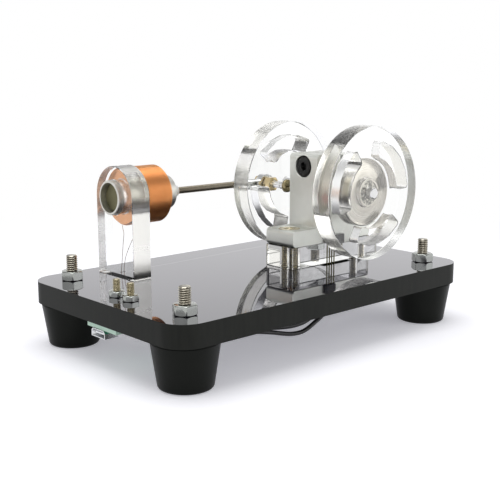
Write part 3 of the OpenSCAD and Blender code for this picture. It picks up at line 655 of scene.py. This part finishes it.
def kidney(angle, y_low, y_high):
    """Cutter for one slot, centred on an angle from +X towards +Z."""
    middle = (SLOT_IN_R + SLOT_OUT_R) / 2
    bpy.ops.object.select_all(action="DESELECT")
    bpy.ops.mesh.primitive_plane_add(size=1)
    piece = bpy.context.object
    piece.scale = (SLOT_SPAN * middle, SLOT_OUT_R - SLOT_IN_R, 1)
    fix_place(piece)
    edit(
        piece,
        lambda: bpy.ops.mesh.bevel(offset=SLOT_CORNER, segments=6, affect="VERTICES"),
        lambda: bpy.ops.mesh.subdivide(number_cuts=3),
    )
    for vertex in piece.data.vertices:
        turn = math.radians(angle) + vertex.co.x / middle
        radius = middle + vertex.co.y
        vertex.co = (
            SHAFT_AT.x + radius * math.cos(turn), y_low, SHAFT_AT.z + radius * math.sin(turn)
        )
    edit(
        piece,
        lambda: bpy.ops.mesh.extrude_region_move(TRANSFORM_OT_translate={"value": (0, y_high - y_low, 0)}),
        lambda: bpy.ops.mesh.select_all(action="SELECT"),
        outwards,
    )
    return piece


def flywheel(node, first_angle):
    low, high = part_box(node)
    centre = (low + high) / 2
    disc = bar(node + "_disc", centre, "Y", (high.x - low.x) / 2, high.y - low.y - 2 * SHY, DISC_SIDES)
    slots = [kidney(first_angle + 120 * k, low.y - SPARE, high.y + SPARE) for k in range(3)]
    shaft_hole = bar("hole", centre, "Y", SHAFT_R, high.y - low.y + SPARE, 48)
    return cut(disc, shaft_hole, *slots)


# %% Front flywheel, with the counterbore for the hub's spigot
SPIGOT_R = 5.25 * MM
SPIGOT_DEPTH = 3.05 * MM
front = flywheel("flywheel_front", SLOT_FRONT_ANGLE)
front_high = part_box("flywheel_front")[1]
counterbore = bar(
    "counterbore", (SHAFT_AT.x, front_high.y, SHAFT_AT.z), "Y", SPIGOT_R, 2 * SPIGOT_DEPTH, 64
)
dress(soften(cut(front, counterbore), DISC_CHAMFER), "flywheel_front")

# %% Back flywheel, with the hole for the crank screw
CRANK_R = 1.3 * MM
back = flywheel("flywheel_back", SLOT_BACK_ANGLE)
nut_low, nut_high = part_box("crank_nut")
pin = (nut_low + nut_high) / 2
back_low, back_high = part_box("flywheel_back")
pin.y = (back_low.y + back_high.y) / 2
pin_hole = bar("pin_hole", pin, "Y", CRANK_R, back_high.y - back_low.y + MM, 32)
dress(soften(cut(back, pin_hole), DISC_CHAMFER), "flywheel_back")

# %% [markdown]
# ## Riser and coil bracket
# The riser is a plain bar of clear acrylic with two screw holes. The bracket is a sheet
# with a round top, a bore for the tube and a tenon that stands in the plate. Its outline
# is a disc fused with a block, which is how it would be marked out before sawing.

# %% Riser
PLATE_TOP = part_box("base_plate")[1].z
SHEET_CHAMFER = 0.2
SCREW_HOLE_R = 2.15 * MM
riser_low, riser_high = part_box("riser_block")
shy = Vector((0, 0, SHY))
riser = block("riser", riser_low + shy, riser_high - shy)
SUPPORT_PITCH = 32 * MM
riser_mid = (riser_low + riser_high) / 2
support_places = [
    Vector((SHAFT_AT.x + side * SUPPORT_PITCH / 2, riser_mid.y, 0)) for side in (-1, 1)
]
riser_holes = [
    bar("hole", (place.x, place.y, riser_mid.z), "Z", SCREW_HOLE_R, 2 * (riser_high.z - riser_low.z), 48)
    for place in support_places
]
dress(soften(cut(riser, *riser_holes), SHEET_CHAMFER), "riser_block", finish="clear_riser")

# %% Bracket
FLAT_WITHIN = math.radians(0.5)
TUBE_HOLE_R = 6.08 * MM
TENON_W = 15 * MM
bracket_low, bracket_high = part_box("coil_bracket")
bracket_low.x += SHY
bracket_high.x -= SHY
bracket_mid = (bracket_low + bracket_high) / 2
arch_r = (bracket_high.y - bracket_low.y) / 2
arch_centre = Vector((bracket_mid.x, bracket_mid.y, SHAFT_AT.z))
thick = bracket_high.x - bracket_low.x
arch = bar("bracket", arch_centre, "X", arch_r, thick, 128)
post = block(
    "post", (bracket_low.x, bracket_low.y, PLATE_TOP + SHY), (bracket_high.x, bracket_high.y, SHAFT_AT.z)
)
tenon = block(
    "tenon",
    (bracket_low.x, bracket_mid.y - TENON_W / 2, bracket_low.z),
    (bracket_high.x, bracket_mid.y + TENON_W / 2, PLATE_TOP + MM),
)
tube_hole = bar("hole", arch_centre, "X", TUBE_HOLE_R, 2 * thick, 96)
bracket = cut(fuse(arch, post, tenon), tube_hole)
edit(bracket, lambda: bpy.ops.mesh.dissolve_limited(angle_limit=FLAT_WITHIN))
dress(soften(bracket, SHEET_CHAMFER), "coil_bracket", finish="clear_bracket")

# %% [markdown]
# ## Screw threads
# A thread that shows is part of the look: the four studs, the terminals, the support
# screws inside the clear riser and the long rod. One ring is drawn out a little, repeated
# with an Array to the screw's length and capped. Then each point moves in towards the root
# by the height of a helix, and both ends get a chamfer.

# %% Threads
RINGS_PER_TURN = 8
THREAD_DEPTH = 0.5
CREST_FLAT = 0.12


def threaded(name, start, end, radius, pitch, sides=28):
    """A bar from start to end with a thread of that radius and pitch."""
    start, end = Vector(start), Vector(end)
    length = (end - start).length
    rings = round(length / pitch * RINGS_PER_TURN)
    step = length / rings
    bpy.ops.object.select_all(action="DESELECT")
    bpy.ops.mesh.primitive_circle_add(vertices=sides, radius=radius, fill_type="NOTHING")
    piece = bpy.context.object
    piece.name = name
    edit(piece, lambda: bpy.ops.mesh.extrude_region_move(TRANSFORM_OT_translate={"value": (0, 0, step)}))
    apply_modifier(
        piece, "ARRAY", count=rings, use_relative_offset=False, use_constant_offset=True,
        constant_offset_displace=(0, 0, step), use_merge_vertices=True, merge_threshold=step / 10,
    )
    edit(piece, lambda: bpy.ops.mesh.fill_holes(sides=0), outwards)
    root = radius - THREAD_DEPTH * pitch
    groove = piece.data.attributes.new("groove", "FLOAT", "POINT")
    for vertex in piece.data.vertices:
        turn = math.atan2(vertex.co.y, vertex.co.x) / math.tau
        phase = (vertex.co.z / pitch - turn) % 1
        crest = min(1, max(0, (abs(2 * phase - 1) - CREST_FLAT) / (1 - 2 * CREST_FLAT)))
        from_end = min(vertex.co.z, length - vertex.co.z)
        reach = min(root + crest * (radius - root), root + from_end)
        vertex.co.xy = vertex.co.xy.normalized() * reach
        # groove is 1 in the thread's roots, where the metal finish paints shade.
        groove.data[vertex.index].value = 1 - crest
    piece.rotation_mode = "QUATERNION"
    piece.rotation_quaternion = (end - start).to_track_quat("Z", "Y")
    piece.location = start
    fix_place(piece)
    return piece


# %% [markdown]
# ## Working on copies
# A thread shows on only part of a screw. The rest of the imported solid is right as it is,
# so it is copied, cut off where the thread starts, and joined to the new thread. Drawing
# the whole screw again would risk a head or a shank that no longer fits its hole.


# %% Copying, cutting off and joining
def join(name, first, *others):
    only(first)
    for other in others:
        other.select_set(True)
    bpy.ops.object.join()
    first.name = name
    return first


def copy_of(node, name):
    """A copy of a solid to work on. Its loose triangles are merged into one skin first."""
    piece = nodes[node].copy()
    piece.data = nodes[node].data.copy()
    bpy.context.scene.collection.objects.link(piece)
    piece.parent = None
    piece.matrix_world = Matrix()
    piece.name = name
    edit(piece, lambda: bpy.ops.mesh.remove_doubles(threshold=0.001 * MM))
    return piece


def kept(node, name, cut_at, keep_above, along=(0, 0, 1)):
    """The part of a solid on one side of a plane, such as a screw's head."""
    piece = copy_of(node, name)
    edit(
        piece,
        lambda: bpy.ops.mesh.bisect(
            plane_co=Vector(along) * cut_at, plane_no=along, use_fill=True,
            clear_inner=keep_above, clear_outer=not keep_above,
        ),
    )
    return piece


# %% Foot studs
plate_low, plate_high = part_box("base_plate")
FOOT_INSET = 11 * MM
LARGE_R = 2.0 * MM
LARGE_PITCH = 0.7 * MM
IN_NUT = 0.5 * MM

foot_places = [
    Vector((x, y, 0))
    for x in (plate_low.x + FOOT_INSET, plate_high.x - FOOT_INSET)
    for y in (plate_low.y + FOOT_INSET, plate_high.y - FOOT_INSET)
]
nut_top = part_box("foot_nuts")[1].z
stud_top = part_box("foot_screws")[1].z
studs = [
    threaded("stud", (at.x, at.y, nut_top - IN_NUT), (at.x, at.y, stud_top), LARGE_R, LARGE_PITCH)
    for at in foot_places
]
shanks = kept("foot_screws", "shanks", nut_top - IN_NUT, keep_above=False)
dress(join("foot_studs", shanks, *studs), "foot_screws")

# %% Terminals
SMALL_R = 1.25 * MM
SMALL_PITCH = 0.45 * MM
terminal_low, terminal_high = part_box("terminal_nuts")
small_top = terminal_high.z
terminal_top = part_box("terminal_screws")[1].z
terminal_x = (terminal_low.x + terminal_high.x) / 2
TERMINAL_PITCH = 7.7 * MM
terminal_mid = (terminal_low.y + terminal_high.y) / 2
posts = [
    threaded(
        "post", (terminal_x, terminal_mid + side * TERMINAL_PITCH / 2, small_top - IN_NUT),
        (terminal_x, terminal_mid + side * TERMINAL_PITCH / 2, terminal_top), SMALL_R, SMALL_PITCH,
    )
    for side in (-1, 1)
]
terminal_shanks = kept("terminal_screws", "terminal_shanks", small_top - IN_NUT, keep_above=False)
dress(join("terminals", terminal_shanks, *posts), "terminal_screws", finish="yellow_screw")

# %% Support screws
SUPPORT_HEAD_H = 2.0 * MM
support_low, support_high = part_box("support_screws")
head_bottom = support_high.z - SUPPORT_HEAD_H
support_threads = [
    threaded("thread", (at.x, at.y, support_low.z), (at.x, at.y, head_bottom), LARGE_R, LARGE_PITCH)
    for at in support_places
]
heads = kept("support_screws", "heads", head_bottom, keep_above=True)
dress(join("support_bolts", heads, *support_threads), "support_screws")

# %% [markdown]
# ## Crank screw
# Its head has darkened, while its bare shank is bright where it passes through the
# flywheel. So the solid is copied twice and cut at the head's underside, and each half
# gets its own finish.

# %% Crank screw
CRANK_HEAD_H = 1.625 * MM
head_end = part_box("crank_screw")[0].y + CRANK_HEAD_H
crank_head = kept("crank_screw", "crank_head", head_end, keep_above=False, along=(0, 1, 0))
crank_shank = kept("crank_screw", "crank_shank", head_end, keep_above=True, along=(0, 1, 0))
dress(crank_head, "crank_screw", finish="dark_brass")
dress(crank_shank, "crank_screw", slot="polished_steel")

# %% [markdown]
# ## Broken edges
# Nothing machined keeps a razor edge. A narrow chamfer catches the light along every
# corner, and that line of light is what makes metal and plastic look real. Solids whose
# shape is right are copied, freed of needless edges, and chamfered by what each would have.

# %% Chamfers on the rest
CHAMFERS = {
    "base_plate": 0.25,
    "shaft_support": 0.35,
    "trigger_hub": 0.10,
    "clamp_screw": 0.20,
    "foot_nuts": 0.12,
    "support_nuts": 0.12,
    "terminal_nuts": 0.10,
    "crank_nut": 0.12,
    "rod_nut": 0.10,
    "rod_end": 0.15,
    "rod_nose": 0.15,
    "plunger_fork": 0.12,
    "leg_sleeve": 0.15,
    "circuit_board": 0.10,
    "supply_socket": 0.05,
}
for node, width in CHAMFERS.items():
    piece = copy_of(node, node + "_finished")
    edit(piece, lambda: bpy.ops.mesh.dissolve_limited(angle_limit=FLAT_WITHIN))
    dress(soften(piece, width), node)

# %% [markdown]
# ## Connecting rod
# The rod is a length of thin threaded steel, screwed into the nose and the rod end. It is
# drawn from the wrist pin towards the eye, so it keeps the small tilt of the crank.

# %% Rod
wrist = sum(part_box("wrist_pin"), Vector()) / 2
eye = sum(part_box("rod_bush"), Vector()) / 2
along_rod = (eye - wrist).normalized()
rod_low, rod_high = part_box("connecting_rod")
rod_start = wrist + along_rod * (rod_low.x - wrist.x)
rod_end_at = wrist + along_rod * (rod_high.x - wrist.x)
rod_start.y = rod_end_at.y = eye.y
rod = threaded("threaded_rod", rod_start, rod_end_at, SMALL_R, SMALL_PITCH, 24)
dress(rod, "connecting_rod")

# %% [markdown]
# ## Winding
# The real coil is thin enamelled wire in many layers. Only the outer layer shows, so it
# is one unbroken wire wound side by side over the plain inner layers. A loop works out
# the helix, because a winding is nothing but a circle that moves on. The wire's size is
# chosen, because its turns are too fine to count in a photo.

# %% Winding
WIRE_D = 0.28 * MM
POINTS_PER_TURN = 64
CHEEK = 0.3 * MM


def wire(name, points, diameter, sides_level=2):
    curve = bpy.data.curves.new(name, "CURVE")
    curve.dimensions = "3D"
    curve.bevel_depth = diameter / 2
    curve.bevel_resolution = sides_level
    curve.use_fill_caps = True
    spline = curve.splines.new("POLY")
    spline.points.add(len(points) - 1)
    for place, point in zip(spline.points, points):
        place.co = (*point, 1)
    spline.use_smooth = True
    piece = bpy.data.objects.new(name, curve)
    bpy.context.scene.collection.objects.link(piece)
    return piece


def to_mesh(piece):
    only(piece)
    bpy.ops.object.convert(target="MESH")
    return bpy.context.object


core_low, core_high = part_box("coil_core")
wound_low, wound_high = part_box("coil_winding")
coil_mid = (core_low + core_high) / 2
wire_r = (wound_high.z - wound_low.z) / 2 - WIRE_D / 2
turns = int((core_high.x - core_low.x - 2 * CHEEK - WIRE_D) / WIRE_D)
first_x = coil_mid.x - turns * WIRE_D / 2
helix = []
for i in range(turns * POINTS_PER_TURN + 1):
    angle = math.tau * i / POINTS_PER_TURN
    around = Vector((0, math.cos(angle), math.sin(angle))) * wire_r
    helix.append(Vector((first_x + i * WIRE_D / POINTS_PER_TURN, coil_mid.y, coil_mid.z)) + around)
ROUND_WIRE = math.radians(80)
dress(to_mesh(wire("winding", helix, WIRE_D)), "coil_winding", smooth=ROUND_WIRE)
print("winding turns:", turns)

# %% [markdown]
# ## Leads
# Two thin leads come down from the coil and go into holes in the plate. Their points are
# listed, and a curve that passes through each of them joins the points without a
# kink. The wire is drawn a little finer than its solid.

# %% Leads
STEPS_BETWEEN = 6


def smooth_route(points):
    """A smooth curve through given points in millimetres, for cables and leads."""
    points = [Vector(p) * MM for p in points]
    ends = [2 * points[0] - points[1], *points, 2 * points[-1] - points[-2]]
    route = []
    for a, b, c, d in zip(ends, ends[1:], ends[2:], ends[3:]):
        bend = 2 * a - 5 * b + 4 * c - d
        twist = 3 * b - a - 3 * c + d
        for i in range(STEPS_BETWEEN):
            t = i / STEPS_BETWEEN
            route.append((2 * b + (c - a) * t + bend * t**2 + twist * t**3) / 2)
    return [*route, points[-1]]


LEAD_D = 0.22 * MM
LEAD_A = [
    (-35.4, 26, 40.2), (-35.4, 25.8, 39), (-35.2, 25.6, 37.6), (-35, 26, 35.6), (-34.8, 26.8, 33),
    (-34.6, 27.5, 30), (-34.3, 28.4, 26.6), (-34.1, 29.1, 24), (-34, 29.4, 22.4), (-34, 29.4, 15),
]
LEAD_B = [
    (-31.5, 23, 40.2), (-31.6, 23.2, 39), (-31.8, 23.8, 37), (-32.2, 24.9, 34.6), (-32.5, 26.6, 31.6),
    (-32.7, 28.4, 28), (-32.7, 29.3, 25), (-32.7, 29.6, 22.6), (-32.7, 29.6, 15),
]
for lead_name, lead in (("lead_a", LEAD_A), ("lead_b", LEAD_B)):
    lead_piece = to_mesh(wire(lead_name, smooth_route(lead), LEAD_D))
    dress(lead_piece, "coil_leads", finish="lead_wire", smooth=ROUND_WIRE)

# %% [markdown]
# ## Sensor
# The Hall sensor is a small moulded body with four long, dull metal legs. One mesh with
# two materials would do, but each piece names one finish of the record. So the body and
# the legs are two pieces that stand for one solid.

# %% Sensor
sensor_low, sensor_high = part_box("hall_sensor")
SENSOR_CHAMFER = 0.25
LEG_CHAMFER = 0.05
LEG_IN_BODY = 0.5 * MM
SENSOR_H = 3.6 * MM
LEG_PITCH = 1.27 * MM
LEG_HALF = 0.2 * MM
sensor_mid = (sensor_low + sensor_high) / 2
body_low = Vector((sensor_low.x, sensor_low.y, sensor_high.z - SENSOR_H))
sensor_body = soften(block("sensor_body", body_low, sensor_high), SENSOR_CHAMFER)
dress(sensor_body, "hall_sensor")
legs = [
    block(
        "leg",
        (sensor_mid.x + k * LEG_PITCH - LEG_HALF, sensor_mid.y - LEG_HALF, sensor_low.z),
        (sensor_mid.x + k * LEG_PITCH + LEG_HALF, sensor_mid.y + LEG_HALF, body_low.z + LEG_IN_BODY),
    )
    for k in (-1.5, -0.5, 0.5, 1.5)
]
sensor_legs = soften(join("sensor_legs", *legs), LEG_CHAMFER)
dress(sensor_legs, "hall_sensor", slot="socket_metal", finish="dark_magnet")

# %% [markdown]
# ## Sensor cable
# Under the plate a sleeve covers the joints on the legs, and two soft strands run from it
# to the board. Each strand goes straight out of the sleeve, under the plate in a low
# curve, and up to the board. Its points are given one by one, as a cable is laid, and it
# stays a curve, so that its length can be measured along it.

# %% Cable strands
STRAND_D = 1.6 * MM
STRAND_A = [
    (29.6, -10.5, 11), (29.6, -10.5, 9.4), (29.5, -10.6, 8.2), (29, -10.8, 7), (27.9, -11.3, 5.8),
    (26.2, -12, 5.1), (24, -13, 4.9), (21, -14.4, 4.8), (17.8, -15.7, 4.4), (14.8, -16.2, 3.5),
    (12.4, -16.3, 2.5), (10, -16.3, 1.6), (7, -16.3, 1.1), (2.4, -16.3, 1.4), (-2, -16.2, 2.4),
    (-7, -15.8, 3.7), (-13.5, -14.9, 5), (-20, -13.6, 6.2), (-27, -11.8, 7.4), (-34, -9.8, 8.3),
    (-40.5, -7.8, 8.9), (-44, -6.6, 9), (-46.4, -5.7, 9.3), (-47.9, -5.1, 10.1), (-48.9, -4.7, 11.4),
    (-49.2, -4.6, 12.7), (-49.2, -4.6, 13.4),
]
STRAND_B = [
    (27.6, -10.5, 11), (27.6, -10.5, 10.1), (27.4, -10.6, 8.9), (26.8, -10.9, 7.9), (25.6, -11.4, 7.1),
    (23.6, -12.3, 6.8), (20.6, -13.5, 6.6), (16.4, -14.8, 6), (12.4, -15.3, 4.9), (9, -15.4, 4.1),
    (4, -15.4, 3.9), (-1, -14.9, 4.2), (-7, -14, 4.9), (-13.5, -13, 5.9), (-20, -11.7, 7),
    (-27, -9.9, 8), (-34, -7.8, 8.8), (-40.5, -5.5, 9), (-44, -4.1, 9), (-46.4, -3.1, 9.3),
    (-47.9, -2.5, 10.1), (-48.9, -2.1, 11.4), (-49.2, -2, 12.7), (-49.2, -2, 13.4),
]
for strand_name, points in (("cable_strand_a", STRAND_A), ("cable_strand_b", STRAND_B)):
    route = smooth_route(points)
    strand = wire(strand_name, route, STRAND_D, 6)
    strand.data.materials.append(MATERIALS["cable_black"])
    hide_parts("sensor_cable")
    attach(strand, "base")
    length = sum((b - a).length for a, b in zip(route, route[1:]))
    print(strand_name, "length in mm:", round(length / MM, 1))
